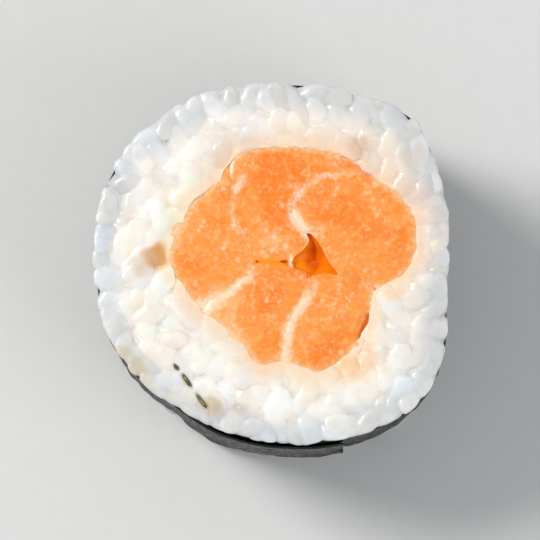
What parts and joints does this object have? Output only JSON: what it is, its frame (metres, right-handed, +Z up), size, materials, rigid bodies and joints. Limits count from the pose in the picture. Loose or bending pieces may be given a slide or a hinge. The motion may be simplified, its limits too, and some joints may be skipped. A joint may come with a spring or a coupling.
{
  "type": "salmon maki roll",
  "caption": "Cut piece of sushi roll standing on its end: nori wrapped round pressed rice, with strips of raw salmon in the middle and rice grains at both cut faces.",
  "frame": {"origin": "centre of the roll's footprint, on the surface that it stands on", "axes": "+Z up along the roll, out of the cut face that shows; +X to the right and +Y away as seen from the front"},
  "size_m": [0.0326, 0.0336, 0.0284],
  "materials": {
    "nori": "damp dried seaweed, near black with a green cast, semi-gloss",
    "rice": "cooked short-grain rice, white, slightly translucent and sticky",
    "salmon": "raw salmon, orange with fine pale fat lines, moist"
  },
  "bodies": {
    "root": {"nori": "nori", "rice": "rice", "salmon_strip_1": "salmon", "salmon_strip_2": "salmon", "salmon_strip_3": "salmon", "salmon_strip_4": "salmon", "salmon_strip_5": "salmon"}
  },
  "joints": []
}
